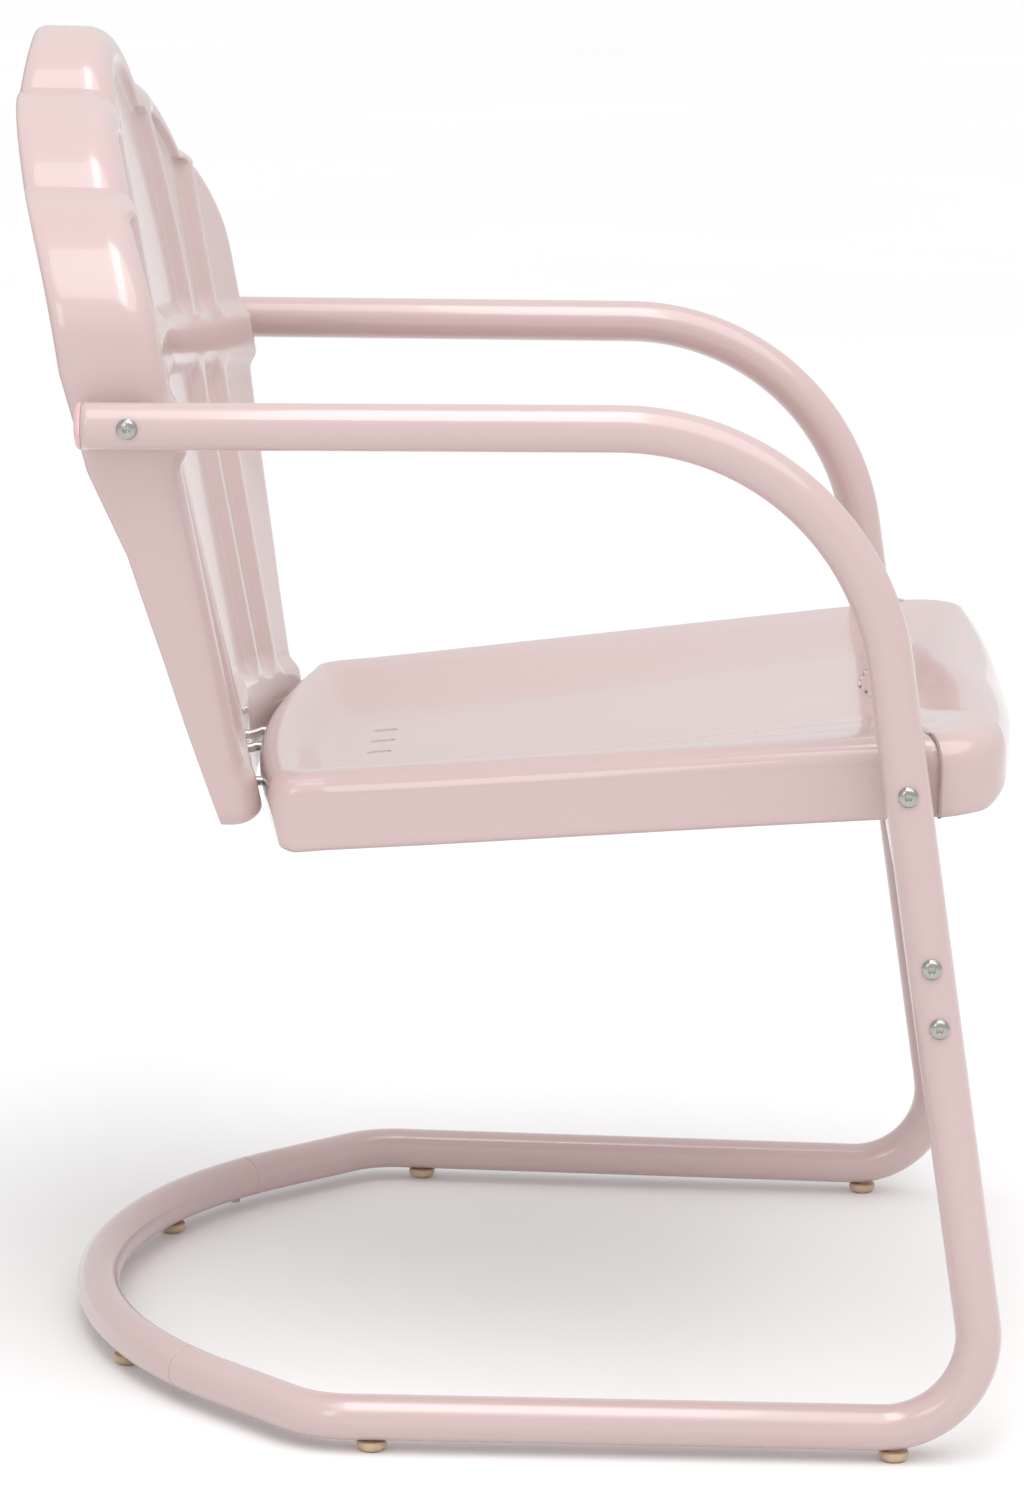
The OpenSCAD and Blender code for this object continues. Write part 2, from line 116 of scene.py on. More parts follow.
def new_object(name, points_mm, faces, smooth=True):
    mesh = bpy.data.meshes.new(name)
    mesh.from_pydata([tuple(c * MM for c in p) for p in points_mm], [], faces)
    mesh.update()
    fix = bmesh.new()
    fix.from_mesh(mesh)
    bmesh.ops.recalc_face_normals(fix, faces=fix.faces)
    fix.to_mesh(mesh)
    fix.free()
    if smooth:
        mesh.shade_smooth()
    obj = bpy.data.objects.new(name, mesh)
    bpy.context.scene.collection.objects.link(obj)
    return obj


def apply_modifiers(obj):
    graph = bpy.context.evaluated_depsgraph_get()
    mesh = bpy.data.meshes.new_from_object(obj.evaluated_get(graph))
    obj.modifiers.clear()
    obj.data = mesh
    return obj


def ring_faces(rings, count, closed_ends=(False, False)):
    faces = []
    for j in range(rings - 1):
        for i in range(count):
            k = (i + 1) % count
            faces.append((j * count + i, j * count + k, (j + 1) * count + k, (j + 1) * count + i))
    if closed_ends[0]:
        faces.append(tuple(range(count - 1, -1, -1)))
    if closed_ends[1]:
        faces.append(tuple(range((rings - 1) * count, rings * count)))
    return faces


def resample(points, spacing):
    """Points at even spacing along an open polyline."""
    points = np.array(points, float)
    steps = np.linalg.norm(np.diff(points, axis=0), axis=1)
    run = np.concatenate([[0], np.cumsum(steps)])
    count = max(2, round(run[-1] / spacing) + 1)
    at = np.linspace(0, run[-1], count)
    return np.stack([np.interp(at, run, points[:, k]) for k in range(points.shape[1])], axis=1)


def arc(centre, radius, start, end, steps):
    return [(centre[0] + radius * cos_d(start + (end - start) * i / steps),
             centre[1] + radius * sin_d(start + (end - start) * i / steps)) for i in range(steps + 1)]


def sweep(name, path, radii, sides=48, caps=(True, True)):
    """A round tube along a smooth path, with one radius for each point."""
    path = np.array(path, float)
    tangents = np.gradient(path, axis=0)
    tangents /= np.linalg.norm(tangents, axis=1)[:, None]
    across = np.cross(tangents[0], (0.3, 0.2, 0.93))
    across /= np.linalg.norm(across)
    points = []
    for p, t, r in zip(path, tangents, radii):
        across = across - t * np.dot(across, t)
        across /= np.linalg.norm(across)
        other = np.cross(t, across)
        for i in range(sides):
            a = 2 * math.pi * i / sides
            points.append(p + r * (math.cos(a) * across + math.sin(a) * other))
    return new_object(name, points, ring_faces(len(path), sides, caps))


# ---------- materials ----------

def base_material(name, colour, roughness, metallic=0.0):
    mat = bpy.data.materials.new(name)
    mat.use_nodes = True
    shader = mat.node_tree.nodes["Principled BSDF"]
    shader.inputs["Base Color"].default_value = (*colour, 1)
    shader.inputs["Roughness"].default_value = roughness
    shader.inputs["Metallic"].default_value = metallic
    return mat, mat.node_tree, shader


def noise(tree, scale, detail=3.0, roughness=0.5):
    coords = tree.nodes.new("ShaderNodeTexCoord")
    node = tree.nodes.new("ShaderNodeTexNoise")
    node.inputs["Scale"].default_value = scale
    node.inputs["Detail"].default_value = detail
    node.inputs["Roughness"].default_value = roughness
    tree.links.new(coords.outputs["Object"], node.inputs["Vector"])
    return node.outputs["Fac"]


def ramp(tree, source, low, high, colours):
    node = tree.nodes.new("ShaderNodeValToRGB")
    node.color_ramp.elements[0].position = low
    node.color_ramp.elements[1].position = high
    for element, colour in zip(node.color_ramp.elements, colours):
        element.color = (*colour, 1)
    tree.links.new(source, node.inputs["Fac"])
    return node.outputs["Color"]


def bump(tree, shader, height, strength, distance, below=None):
    node = tree.nodes.new("ShaderNodeBump")
    node.inputs["Strength"].default_value = strength
    node.inputs["Distance"].default_value = distance
    tree.links.new(height, node.inputs["Height"])
    if below is not None:
        tree.links.new(below, node.inputs["Normal"])
    tree.links.new(node.outputs["Normal"], shader.inputs["Normal"])
    return node.outputs["Normal"]


def powder_coat(name, colour, peel_scale):
    """Glossy sprayed paint: slight tone drift, faint orange peel and a clear top layer."""
    mat, tree, shader = base_material(name, colour, 0.22)
    light = tuple(min(1.0, c * 1.008) for c in colour)
    dark = tuple(c * 0.985 for c in colour)
    tone = ramp(tree, noise(tree, 4.0, 1.0), 0.3, 0.7, (dark, light))
    tree.links.new(tone, shader.inputs["Base Color"])
    gloss = ramp(tree, noise(tree, 12.0, 1.0), 0.3, 0.7, ((0.21,) * 3, (0.235,) * 3))
    tree.links.new(gloss, shader.inputs["Roughness"])
    bump(tree, shader, noise(tree, peel_scale, 0.0), 0.01, 0.00002)
    shader.inputs["Coat Weight"].default_value = 0.7
    shader.inputs["Coat Roughness"].default_value = 0.06
    shader.inputs["Coat IOR"].default_value = 1.5
    return mat


def plated_steel(name, colour, roughness):
    mat, tree, shader = base_material(name, colour, roughness, 1.0)
    worn = ramp(tree, noise(tree, 400.0, 5.0), 0.3, 0.7, ((roughness * 0.7,) * 3, (roughness * 1.5,) * 3))
    tree.links.new(worn, shader.inputs["Roughness"])
    bump(tree, shader, noise(tree, 900.0, 3.0), 0.08, 0.0001)
    return mat


def moulded_plastic(name, colour, roughness, glow):
    mat, tree, shader = base_material(name, colour, roughness)
    dark = tuple(c * 0.82 for c in colour)
    tone = ramp(tree, noise(tree, 160.0, 4.0), 0.3, 0.7, (dark, colour))
    tree.links.new(tone, shader.inputs["Base Color"])
    shader.inputs["Subsurface Weight"].default_value = glow
    shader.inputs["Subsurface Radius"].default_value = (0.004, 0.0025, 0.0015)
    shader.inputs["Subsurface Scale"].default_value = 1.0
    bump(tree, shader, noise(tree, 1400.0, 2.0), 0.1, 0.0001)
    return mat


PINK = (0.565, 0.425, 0.415)
pink_shell = powder_coat("pink_shell_paint", PINK, 260.0)
pink_tube = powder_coat("pink_tube_paint", PINK, 300.0)
chrome = plated_steel("bright_plated_steel", (0.42, 0.41, 0.39), 0.2)
plain_steel = plated_steel("plain_steel", (0.55, 0.55, 0.55), 0.35)
tan_plastic = moulded_plastic("tan_glide_plastic", (0.60, 0.44, 0.30), 0.35, 0.3)
cap_plastic = moulded_plastic("pink_cap_plastic", (0.78, 0.50, 0.51), 0.4, 0.15)


def dress(obj, material):
    obj.data.materials.clear()
    obj.data.materials.append(material)


def finish_piece(obj, material, slot, body, *nodes):
    dress(obj, material)
    if body:
        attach(obj, body)
    if nodes:
        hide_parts(*nodes)
    return obj


# ---------- side tubes and rear loop ----------

def side_point(p, q):
    """From the leaning side plane (forward from the rail's reference, up from the rail) to the row frame."""
    x, y, z = 0.0, -p, q
    x, z = x * cos_d(-LEAN) + z * sin_d(-LEAN), -x * sin_d(-LEAN) + z * cos_d(-LEAN)
    x, y = x * cos_d(-TOE) - y * sin_d(-TOE), x * sin_d(-TOE) + y * cos_d(-TOE)
    return (RAIL_X + x, y_at(RAIL_REF) + y, RAIL_Z + z)


flex_centre = np.array([LEG_FOOT - RAIL_Z * tan_d(LEG_SLOPE) - RAIL_REF
                        - FLEX_R * (1 / cos_d(LEG_SLOPE) + tan_d(LEG_SLOPE)), FLEX_R])
leg_dir = np.array([-sin_d(LEG_SLOPE), cos_d(LEG_SLOPE)])
leg_out = np.array([cos_d(LEG_SLOPE), sin_d(LEG_SLOPE)])
arm_dir = np.array([cos_d(ARM_RISE), sin_d(ARM_RISE)])
flex_top = flex_centre + FLEX_R * leg_out
arm_start = np.array([ARM_REAR - RAIL_REF, ARM_Z - RAIL_Z])
corner_up = ((flex_top[0] - arm_start[0]) * tan_d(ARM_RISE) + arm_start[1] - flex_top[1]) / (
    leg_dir[1] - leg_dir[0] * tan_d(ARM_RISE))
corner = flex_top + corner_up * leg_dir
bend_run = ARM_BEND_R * tan_d((90 - LEG_SLOPE + ARM_RISE) / 2)
bend_low = corner - bend_run * leg_dir
bend_centre = bend_low - ARM_BEND_R * leg_out

slant = KNUCKLE_TURN - TOE
knuckle = np.array([frame_x(KNUCKLE_AT, RAIL_Z), KNUCKLE_AT])
rail_dir = np.array([sin_d(TOE), -cos_d(TOE)])
slant_dir = np.array([-sin_d(slant), -cos_d(slant)])
knuckle_run = KNUCKLE_R * tan_d(KNUCKLE_TURN / 2)
rail_rear = knuckle - knuckle_run * rail_dir
knuckle_centre = rail_rear + KNUCKLE_R * np.array([-cos_d(TOE), -sin_d(TOE)])
loop_touch = 90 - slant
slant_end = knuckle + (knuckle[0] - LOOP_R * sin_d(loop_touch)) / sin_d(slant) * slant_dir
loop_centre_u = slant_end[1] + LOOP_R * cos_d(loop_touch)


def floor_point(p):
    return (p[0], y_at(p[1]), RAIL_Z)


def side_path():
    upright = [tuple(arm_start)]
    upright += arc(bend_centre, ARM_BEND_R, 90 + ARM_RISE, LEG_SLOPE, 60)
    upright += arc(flex_centre, FLEX_R, LEG_SLOPE, -90, 40)
    flat = arc(knuckle_centre, KNUCKLE_R, TOE, -slant, 24)
    flat += [(LOOP_R * sin_d(a), loop_centre_u - LOOP_R * cos_d(a))
             for a in np.linspace(loop_touch, LOOP_HALF, 8)]
    return [side_point(*p) for p in upright] + [floor_point(p) for p in flat]


SEAM_SOFT = 0.9                # how far the tube's cut ends are rounded at a joint


def end_radii(path, start_soft, end_soft):
    """Full radius, easing in over the last millimetre of an end that meets another tube."""
    steps = np.linalg.norm(np.diff(path, axis=0), axis=1)
    run = np.concatenate([[0], np.cumsum(steps)])
    radii = np.full(len(path), TUBE_R)
    for soft, distance in ((start_soft, run), (end_soft, run[-1] - run)):
        if soft:
            t = np.clip(1 - distance / SEAM_SOFT, 0, 1)
            radii -= SEAM_SOFT * (1 - np.sqrt(1 - t * t))
    return radii


def with_soft_ends(path, start, end):
    """Adds the close-set points that a rounded end needs."""
    extra = np.array([0, 0.15, 0.4, SEAM_SOFT, 2.5])
    path = list(path)
    if start:
        a, b = path[0], path[1]
        d = (b - a) / np.linalg.norm(b - a)
        path = [a + d * e for e in extra] + path[1:]
    if end:
        a, b = path[-1], path[-2]
        d = (b - a) / np.linalg.norm(b - a)
        path = path[:-1] + [a + d * e for e in extra[::-1]]
    return np.array(path)


def add_side_tube(side, sign):
    path = with_soft_ends(resample(side_path(), 4.0), False, True)
    path[:, 0] *= sign
    tube = sweep(f"{side}_side_tube", path, end_radii(path, False, True))
    finish_piece(tube, pink_tube, "pink_paint", None, f"{side}_arm_leg_tube",
                 f"{side}_flex_bend", f"{side}_base_rail")
    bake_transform(tube)


def add_rear_loop():
    path = [(LOOP_R * sin_d(a), y_at(loop_centre_u - LOOP_R * cos_d(a)), RAIL_Z)
            for a in np.linspace(-LOOP_HALF, LOOP_HALF, 120)]
    path = with_soft_ends(np.array(path), True, True)
    tube = sweep("rear_loop", path, end_radii(path, True, True))
    finish_piece(tube, pink_tube, "pink_paint", "base", "rear_loop_tube")


# ---------- turned pieces ----------

def turned(name, profile, place, turn=None, sides=40):
    """Revolves a profile of (radius, height) about Z, then turns and places it."""
    turn = turn or Matrix.Identity(3)
    points = []
    for r, h in profile:
        for i in range(sides):
            a = 2 * math.pi * i / sides
            points.append(tuple(turn @ Vector((r * math.cos(a), r * math.sin(a), h)) + Vector(place)))
    return new_object(name, points, ring_faces(len(profile), sides, (True, True)))


def rounded_profile(points, radius=0.6, steps=3):
    """A profile whose inner corners are cut by small curves."""
    out = [points[0]]
    for before, at, after in zip(points, points[1:], points[2:]):
        a, p, b = (np.array(v, float) for v in (before, at, after))
        ra = min(radius, np.linalg.norm(a - p) / 2)
        rb = min(radius, np.linalg.norm(b - p) / 2)
        start = p + (a - p) / np.linalg.norm(a - p) * ra
        end = p + (b - p) / np.linalg.norm(b - p) * rb
        for k in range(steps + 1):
            t = k / steps
            out.append(tuple((1 - t) ** 2 * start + 2 * t * (1 - t) * p + t * t * end))
    return out + [points[-1]]


def add_foot(node):
    low, high = (Vector(v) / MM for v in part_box(node))
    centre = (low + high) / 2
    r = (high.x - low.x) / 2
    top = RAIL_Z - TUBE_R
    profile = rounded_profile([(0.2, 0), (r - 4.2, 0), (r - 1.8, 1.0), (r - 0.2, 3.0), (r, 4.4),
                               (r, top - 1.4), (r - 0.8, top - 0.1), (3.5, top),
                               (3.5, top + 6), (0.2, top + 6)])
    foot = turned(node.replace("_foot", "_glide"), profile, (centre.x, centre.y, 0))
    finish_piece(foot, tan_plastic, "foot_plastic", "base", node)


def add_arm_cap(side, sign):
    node = f"{side}_arm_end_cap"
    start = Vector(side_point(*arm_start))
    ahead = Vector(side_point(*(arm_start + arm_dir)))
    start.x, ahead.x = sign * start.x, sign * ahead.x
    turn = Vector((0, 0, 1)).rotation_difference(ahead - start).to_matrix()
    profile = rounded_profile([(0.2, -4.6), (TUBE_R - 5, -4.4), (TUBE_R - 1.2, -3.2), (TUBE_R, -1.6),
                               (TUBE_R, -0.15), (TUBE_R - 1.9, -0.1), (TUBE_R - 2.2, 12), (0.2, 12)], 0.8)
    cap = turned(f"{side}_arm_plug", profile, start, turn, 56)
    finish_piece(cap, cap_plastic, "cap_plastic", "seat_frame", node)


HEAD_R, HEAD_H, SOCKET_R = 6.35, 3.4, 2.35


def bolt_points(sides=48):
    """Rings of a domed button head with a hex socket, then its shank, about Z with the head up."""
    socket = []
    for i in range(sides):
        a = 360 * i / sides
        socket.append(SOCKET_R * cos_d(30) / cos_d((a % 60) - 30))
    rings = [([r] * sides, h) for r, h in
             ((3.0, -34), (3.0, -0.2), (HEAD_R - 0.2, 0), (HEAD_R, 0.2), (HEAD_R, 0.85),
              (HEAD_R - 0.25, 1.15))]
    for k in range(1, 8):
        a = 12 + 9 * k
        rings.append(([(HEAD_R - 0.3) * cos_d(a) ** 0.75] * sides, 0.9 + (HEAD_H - 0.9) * sin_d(a)))
    rings += [([s + 0.25 for s in socket], HEAD_H), (socket, HEAD_H - 0.3), (socket, 1.2),
              ([0.3] * sides, 0.7)]
    return [(r[i] * cos_d(360 * i / sides), r[i] * sin_d(360 * i / sides), h)
            for r, h in rings for i in range(sides)], len(rings), sides


def add_bolts(name, node, places):
    """One object for a group of bolts; places are (x under the head, y, z), mirrored left to right."""
    base, rings, sides = bolt_points()
    points, faces = [], []
    for sign in (1, -1):
        for x, y, z in places:
            start = len(points)
            points += [(sign * (x + p[2]), y + p[0] * sign, z + p[1]) for p in base]
            faces += [tuple(start + k for k in f) for f in ring_faces(rings, sides, (True, True))]
    bolts = new_object(name, points, faces)
    sharpen(bolts, 32)
    finish_piece(bolts, chrome, "chrome_hardware", "seat_frame", node)


def sharpen(obj, angle):
    """Keeps edges steeper than the angle crisp under smooth shading."""
    mesh = bmesh.new()
    mesh.from_mesh(obj.data)
    for edge in mesh.edges:
        edge.smooth = edge.calc_face_angle(0) < math.radians(angle)
    mesh.to_mesh(obj.data)
    mesh.free()


def add_all_bolts():
    for name, node in (("arm_screws", "arm_bolts"), ("seat_screws", "seat_bolts"),
                       ("stretcher_screws", "stretcher_bolts")):
        low, high = (np.array(v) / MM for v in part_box(node))
        y_mid, z_mid = (low[1] + high[1]) / 2, (low[2] + high[2]) / 2
        if node == "stretcher_bolts":
            places = []
            for z, y in ((low[2] + HEAD_R, low[1] + HEAD_R), (high[2] - HEAD_R, high[1] - HEAD_R)):
                forward = MIDDLE - y
                places.append((frame_x(forward, z) + TUBE_R + 0.1, y, z))
        else:
            places = [(high[0] - HEAD_H, y_mid, z_mid)]
        add_bolts(name, node, places)


# ---------- pressed shells ----------

def back_face(x, z):
    slope = 0.19 if z > BACK_BEND_Z else 0.235
    return 74 + (BACK_BEND_Z - z) * slope + BACK_BOW * (x / 262) ** 2


def lobe(a, b, sag, steps):
    """An upward-bulging arc from a to b, without b."""
    a, b = np.array(a), np.array(b)
    half = np.linalg.norm(b - a) / 2
    r = (half * half + sag * sag) / (2 * sag)
    along = (b - a) / (2 * half)
    up = np.array([along[1], -along[0]])
    up = up if up[1] > 0 else -up
    centre = (a + b) / 2 - (r - sag) * up
    reach = math.asin(half / r)
    return [tuple(centre + r * (math.sin(t) * along + math.cos(t) * up))
            for t in np.linspace(-reach, reach, steps + 1)[:-1]]


def mirrored(half):
    """Closes a half outline that starts and ends on the middle line."""
    return np.array([tuple(p) for p in half] + [(-p[0], p[1]) for p in half[-2:0:-1]])


def back_outline():
    corner = 14
    half = [(0, BACK_LOW), (BACK_LOW_W - corner, BACK_LOW)]
    half += arc((BACK_LOW_W - corner, BACK_LOW + corner), corner, -90, -12, 8)
    half += [(BACK_WAIST_W, WAIST_Z), (BACK_WAIST_W + 0.7, (WAIST_Z + SHOULDER[1]) / 2)]
    half += lobe(SHOULDER, OUTER_NOTCH, 12, 40)
    half += lobe(OUTER_NOTCH, INNER_NOTCH, 12, 40)
    middle = lobe(INNER_NOTCH, (-INNER_NOTCH[0], INNER_NOTCH[1]), TOP_Z - INNER_NOTCH[1], 60)
    half += [p for p in middle if p[0] > -1e-6]
    return mirrored(soften(resample(half, 2.2), SHOULDER[1], SHOULDER_EASE))


def soften(points, height, reach):
    """Eases the kink of an outline near a height."""
    points = points.copy()
    for _ in range(EASE_PASSES):
        near = np.clip(1 - np.abs(points[1:-1, 1] - height) / reach, 0, 1)[:, None]
        points[1:-1] += near * 0.5 * ((points[:-2] + points[2:]) / 2 - points[1:-1])
    return points


RIB_LOW_Z, RIB_MID_Z = 390.0, 650.0
RIBS_LOW, RIBS_MID = (64.0, 120.0), (110.0, 171.0)
RIBS_TOP = (INNER_NOTCH, OUTER_NOTCH)
RIB_HALF = 5.0
PANEL_CORNER = 16.0


def rib_x(k, z):
    """Where rib k runs, at a height: straight up to the waist, then curving in to its notch."""
    if z < RIB_MID_Z:
        return RIBS_LOW[k] + (RIBS_MID[k] - RIBS_LOW[k]) * (z - RIB_LOW_Z) / (RIB_MID_Z - RIB_LOW_Z)
    top_x, top_z = RIBS_TOP[k]
    t = (z - RIB_MID_Z) / (top_z - RIB_MID_Z)
    return RIBS_MID[k] + (top_x - RIBS_MID[k]) * t ** 2.2


def panel_recess(x, z, edge_distance):
    """Depth of the pressed panels at a point of the back's face."""
    x = abs(x)
    first, second = rib_x(0, z), rib_x(1, z)
    if x < first:
        side = first - RIB_HALF - x
    elif x < second:
        side = min(x - first, second - x) - RIB_HALF
    else:
        side = x - second - RIB_HALF
    band_top = 664 - 0.09 * x
    band_low = 638 - 0.10 * x
    if z > (band_top + band_low) / 2:
        end = min(z - band_top, edge_distance + (12 if x > second else 2))
    else:
        end = min(band_low - z, z - (424 - 0.12 * x), edge_distance + 12)
    inside = PANEL_CORNER - math.hypot(max(PANEL_CORNER - side, 0), max(PANEL_CORNER - end, 0))
    return PANEL_DEPTH * smoothstep(-2.5, 11.0, inside)


def star_direction(p, low, high):
    d = np.array([p[0], p[1] - min(max(p[1], low), high)])
    return d / np.linalg.norm(d)


def cap_faces(count):
    """Fills the innermost ring of a mirrored outline with quads across the middle."""
    faces = [(0, count - 1, 1), (count // 2 - 1, count // 2 + 1, count // 2)]
    faces += [(i, count - i, count - i - 1, i + 1) for i in range(1, count // 2 - 1)]
    return faces


def shell_object(name, rings, show_side):
    """A pressed sheet from rings of points, its show side facing the way given, thickened behind."""
    count = len(rings[0])
    points = [p for ring in rings for p in ring]
    shell = new_object(name, points, ring_faces(len(rings), count) + cap_faces(count))
    facing = sum((f.area * f.normal for f in shell.data.polygons), Vector())
    if facing.dot(Vector(show_side)) < 0:
        shell.data.flip_normals()
    thick = shell.modifiers.new("thickness", "SOLIDIFY")
    thick.thickness = SHEET_T * MM
    thick.offset = -1
    return apply_modifiers(shell)


def back_rings():
    outline = back_outline()
    dirs = [star_direction(p, 480, 700) for p in outline]
    spines = [np.array([0, min(max(p[1], 430), 760)]) for p in outline]
    rolls = [BACK_ROLL * (1 - LOW_ROLL_TRIM * min(d[1], 0) ** 2) for d in dirs]
    inner = [p - r * d for p, r, d in zip(outline, rolls, dirs)]
    flange_z, flange_deep = zip(*FLANGE_BY_Z)
    depths = [float(np.interp(p[1], flange_z, flange_deep)) for p in outline]
    rings = []
    for f in np.linspace(0.02, 1, 92):
        ring = []
        for s, q1 in zip(spines, inner):
            q = s + (q1 - s) * f
            recess = panel_recess(q[0], q[1], (1 - f) * np.linalg.norm(q1 - s))
            ring.append((q[0], y_at(back_face(q[0], q[1]) - recess), q[1]))
        rings.append(ring)
    edge_recess = [panel_recess(q[0], q[1], 0.0) for q in inner]
    for k in range(1, 11):
        a = 9.0 * k
        ring = []
        for q1, d, r, recess in zip(inner, dirs, rolls, edge_recess):
            q = q1 + r * sin_d(a) * d
            back = r * (1 - cos_d(a)) + recess * (1 - sin_d(a))
            ring.append((q[0], y_at(back_face(*q1) - back), q[1]))
        rings.append(ring)
    for part in np.linspace(0.08, 1, 14):
        ring = []
        for q1, p, d, r, deep in zip(inner, outline, dirs, rolls, depths):
            curl = 1.6 * smoothstep(0.86, 1.0, part)
            q = p - curl * d
            ring.append((q[0], y_at(back_face(*q1) - r - part * (deep - r)), q[1]))
        rings.append(ring)
    return rings


def add_back():
    shell = shell_object("scalloped_back", back_rings(), (0, -1, 0))
    finish_piece(shell, pink_shell, "pink_paint", "seat_frame", "back_shell")


SEAT_SIDE_SLOPE = (SEAT_FRONT_W - SEAT_REAR_W) / (SEAT_FRONT - FRONT_CORNER - SEAT_REAR - REAR_CORNER)

TIGHT_CORNER = 18.0            # the seat's rear corners, as pressed


def seat_outline():
    half = [(x, SEAT_REAR + 20 * (x / 200) ** 2) for x in np.linspace(0, SEAT_REAR_W, 34)]
    half = [p for p in half if p[0] < SEAT_REAR_W - TIGHT_CORNER]
    half += arc((SEAT_REAR_W - TIGHT_CORNER, SEAT_REAR + 17 + TIGHT_CORNER), TIGHT_CORNER, -90, 0, 12)
    half += [(SEAT_REAR_W + (u - 180) * SEAT_SIDE_SLOPE, u) for u in (182, 565)]
    half += arc((SEAT_FRONT_W - FRONT_CORNER, SEAT_FRONT - 12 - FRONT_CORNER), FRONT_CORNER, 4, 88, 20)
    half += [(x, SEAT_FRONT - 12 * (x / 208) ** 2)
             for x in np.linspace(SEAT_FRONT_W - FRONT_CORNER - 6, 0, 30)]
    return mirrored(resample(half, 3.0))


def rim_z(forward):
    return RIM_REAR_Z + RIM_RISE * (forward - 150)


def clear_of_back(x, forward, z):
    return (x, y_at(max(forward, back_face(x, z) + SEAT_TO_BACK)), z)


def seat_rings():
    outline = seat_outline()
    dirs = [star_direction(p, 250, 460) for p in outline]
    rolls = [15 + 17 * max(d[1], 0) ** 2 - 4 * max(-d[1], 0) ** 2 for d in dirs]
    spines = [np.array([0, min(max(p[1], 200), 520)]) for p in outline]
    inner = [p - r * d for p, r, d in zip(outline, rolls, dirs)]
    rings = []
    for f in np.linspace(0.02, 1, 70):
        ring = []
        for s, q1 in zip(spines, inner):
            q = s + (q1 - s) * f
            deep = 22 - 11 * smoothstep(260, 560, q[1])
            dish = deep * (1 - smoothstep(0.42, 1.0, f))
            ring.append(clear_of_back(q[0], q[1], rim_z(q[1]) - dish))
        rings.append(ring)
    for k in range(1, 11):
        a = 9.0 * k
        ring = []
        for q1, d, r in zip(inner, dirs, rolls):
            q = q1 + r * sin_d(a) * d
            ring.append(clear_of_back(q[0], q[1], rim_z(q1[1]) - r * (1 - cos_d(a))))
        rings.append(ring)
    for part in np.linspace(0.1, 1, 12):
        ring = []
        for p, q1, d, r in zip(outline, inner, dirs, rolls):
            trim = 12 * smoothstep(165, 135, p[1]) + 14 * smoothstep(590, 616, p[1])
            drop = r + part * (SKIRT_H - trim - r)
            curl = 1.4 * smoothstep(0.88, 1.0, part)
            q = p - curl * d
            ring.append(clear_of_back(q[0], q[1], rim_z(q1[1]) - drop))
        rings.append(ring)
    return rings


def add_seat():
    shell = shell_object("dished_seat", seat_rings(), (0, 0, 1))
    cutter = drain_cutter()
    cut = shell.modifiers.new("drains", "BOOLEAN")
    cut.operation = "DIFFERENCE"
    cut.solver = "MANIFOLD"
    cut.object = cutter
    apply_modifiers(shell)
    bpy.data.objects.remove(cutter)
    finish_piece(shell, pink_shell, "pink_paint", "seat_frame", "seat_shell")


def drain_cutter():
    """Three round-ended slots, fore and aft, near the rear of the pan."""
    half_l, half_w, sides = 8.0, 2.5, 12
    outline = arc((0, half_l - half_w), half_w, 0, 180, sides)
    outline += arc((0, half_w - half_l), half_w, 180, 360, sides)
    points, faces = [], []
    for x in DRAIN_XS:
        start = len(points)
        for z in (365, 420):
            points += [(x + p[0], y_at(DRAIN_AT) + p[1], z) for p in outline]
        faces += [tuple(start + k for k in f) for f in ring_faces(2, len(outline), (True, True))]
    return new_object("drain_cutter", points, faces, False)


# ---------- nodes that keep their CAD shape ----------

def dress_cad_nodes():
    finishes = {"pink_paint": pink_tube, "chrome_hardware": chrome, "bare_steel": plain_steel,
                "foot_plastic": tan_plastic, "cap_plastic": cap_plastic}
    slot_of = {s["node"]: s["material_slot"] for s in frame["record"]["subparts"]}
    for node, obj in frame["nodes"].items():
        for slot in obj.material_slots:
            slot.material = finishes[slot_of[node]]


# ---------- camera, floor and light ----------

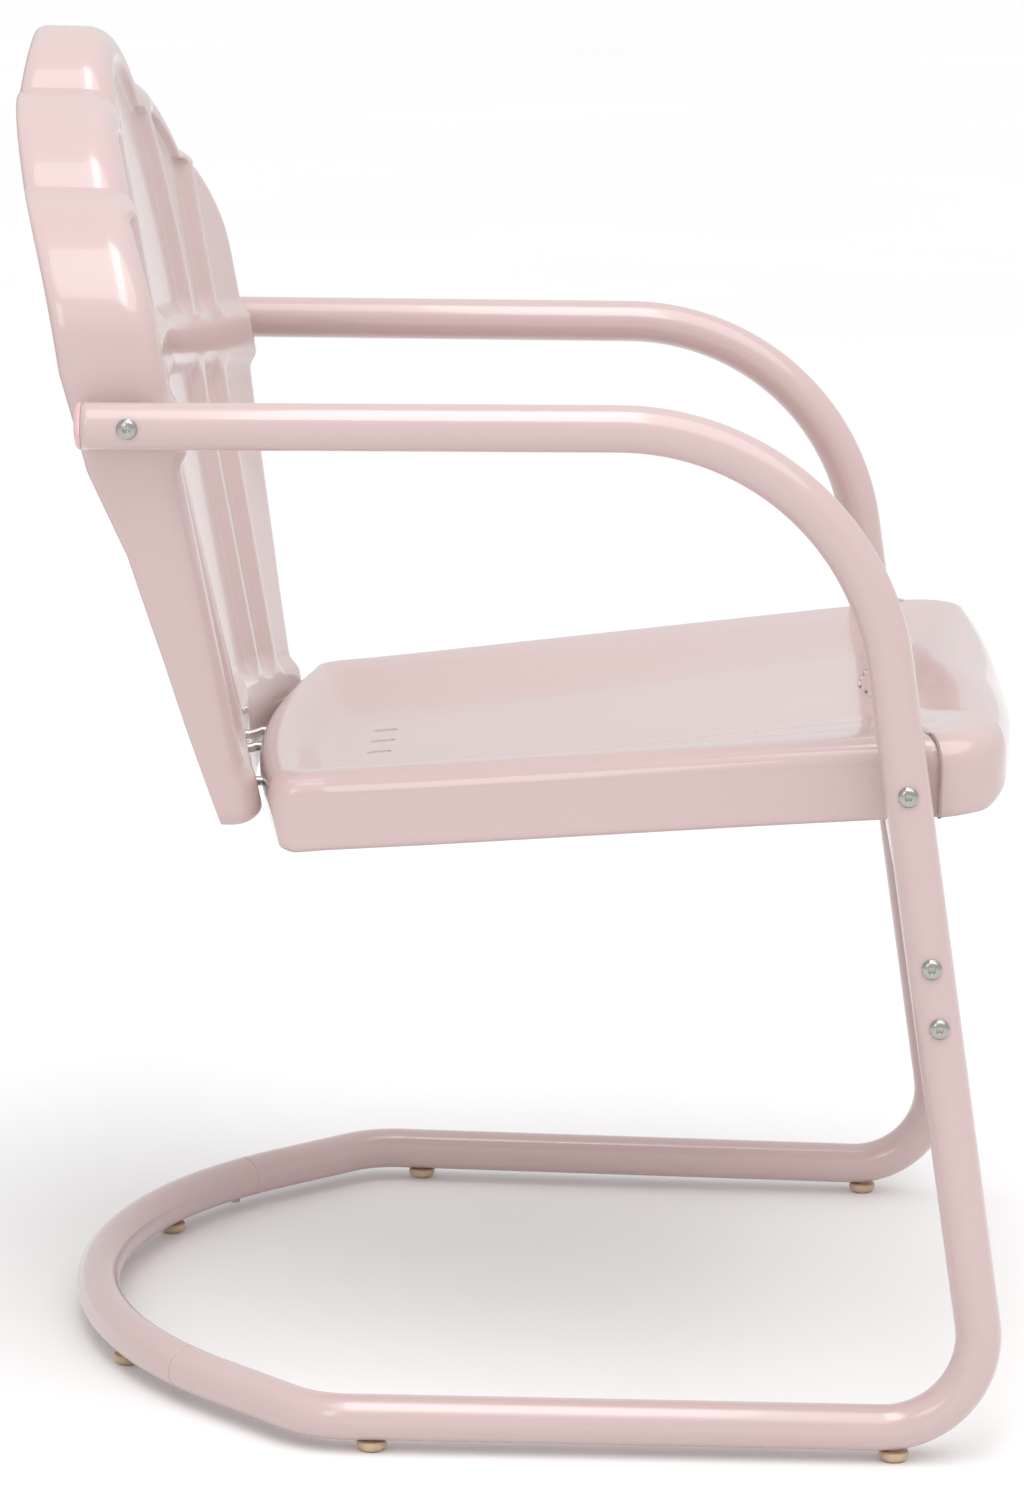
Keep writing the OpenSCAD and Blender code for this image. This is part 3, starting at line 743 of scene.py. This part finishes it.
def add_camera():
    """A long lens at the chair's right side, a little above arm height."""
    yaw, pitch, roll = 0.0311, 0.2027, 0.0180
    level = Vector((math.cos(yaw), math.sin(yaw), 0))
    right = Vector((math.sin(yaw), -math.cos(yaw), 0))
    down = Vector((0, 0, -math.cos(pitch))) - math.sin(pitch) * level
    ahead = Vector((0, 0, -math.sin(pitch))) + math.cos(pitch) * level
    rolled_right = math.cos(roll) * right - math.sin(roll) * down
    rolled_down = math.sin(roll) * right + math.cos(roll) * down
    turn = Matrix((rolled_right, -rolled_down, -ahead)).transposed()
    data = bpy.data.cameras.new("camera")
    data.lens, data.sensor_width = 120.32, 36
    data.clip_end = 200
    camera = bpy.data.objects.new("camera", data)
    camera.matrix_world = Matrix.Translation((-3.2487, -0.0967, 1.0534)) @ turn.to_4x4()
    bpy.context.scene.collection.objects.link(camera)
    bpy.context.scene.camera = camera


def add_floor():
    size = 30000
    floor = new_object("floor", [(-size, -size, 0), (size, -size, 0), (size, size, 0), (-size, size, 0)],
                       [(0, 1, 2, 3)], False)
    mat, tree, shader = base_material("pale_floor", (0.9, 0.9, 0.9), 0.6)
    tone = ramp(tree, noise(tree, 0.8, 2.0), 0.3, 0.7, ((0.89,) * 3, (0.91,) * 3))
    tree.links.new(tone, shader.inputs["Base Color"])
    dress(floor, mat)


def aim(light, place, target):
    light.location = place
    light.rotation_euler = (Vector(target) - Vector(place)).to_track_quat("-Z", "Y").to_euler()
    bpy.context.scene.collection.objects.link(light)


def add_area_light(name, place, target, size, power):
    data = bpy.data.lights.new(name, "AREA")
    data.shape = "RECTANGLE"
    data.size, data.size_y = size
    data.energy = power
    aim(bpy.data.objects.new(name, data), place, target)


def add_light():
    """A white room: even light, a broad soft sun from above and two softboxes for the gloss."""
    scene = bpy.context.scene
    scene.view_settings.view_transform = "Standard"
    world = bpy.data.worlds.new("studio")
    scene.world = world
    world.use_nodes = True
    world.node_tree.nodes["Background"].inputs["Color"].default_value = (1, 1, 1, 1)
    world.node_tree.nodes["Background"].inputs["Strength"].default_value = 0.78
    sun = bpy.data.lights.new("soft_sun", "SUN")
    sun.energy, sun.angle = 1.25, math.radians(60)
    aim(bpy.data.objects.new("soft_sun", sun), (-1.2, -0.8, 3.0), (0, 0, 0))
    add_area_light("overhead", (-0.9, 0.0, 2.6), (0, 0, 0.5), (0.6, 2.2), 14)
    add_area_light("side", (-3.0, 1.2, 1.8), (0, 0, 0.5), (0.7, 1.6), 8)


add_camera()
add_floor()
add_light()
for side_name, side_sign in (("left", 1), ("right", -1)):
    add_side_tube(side_name, side_sign)
    add_arm_cap(side_name, side_sign)
add_rear_loop()
for place_name in ("left_front", "right_front", "left_middle", "right_middle", "left_rear", "right_rear"):
    add_foot(f"{place_name}_foot")
add_all_bolts()
add_back()
add_seat()
dress_cad_nodes()
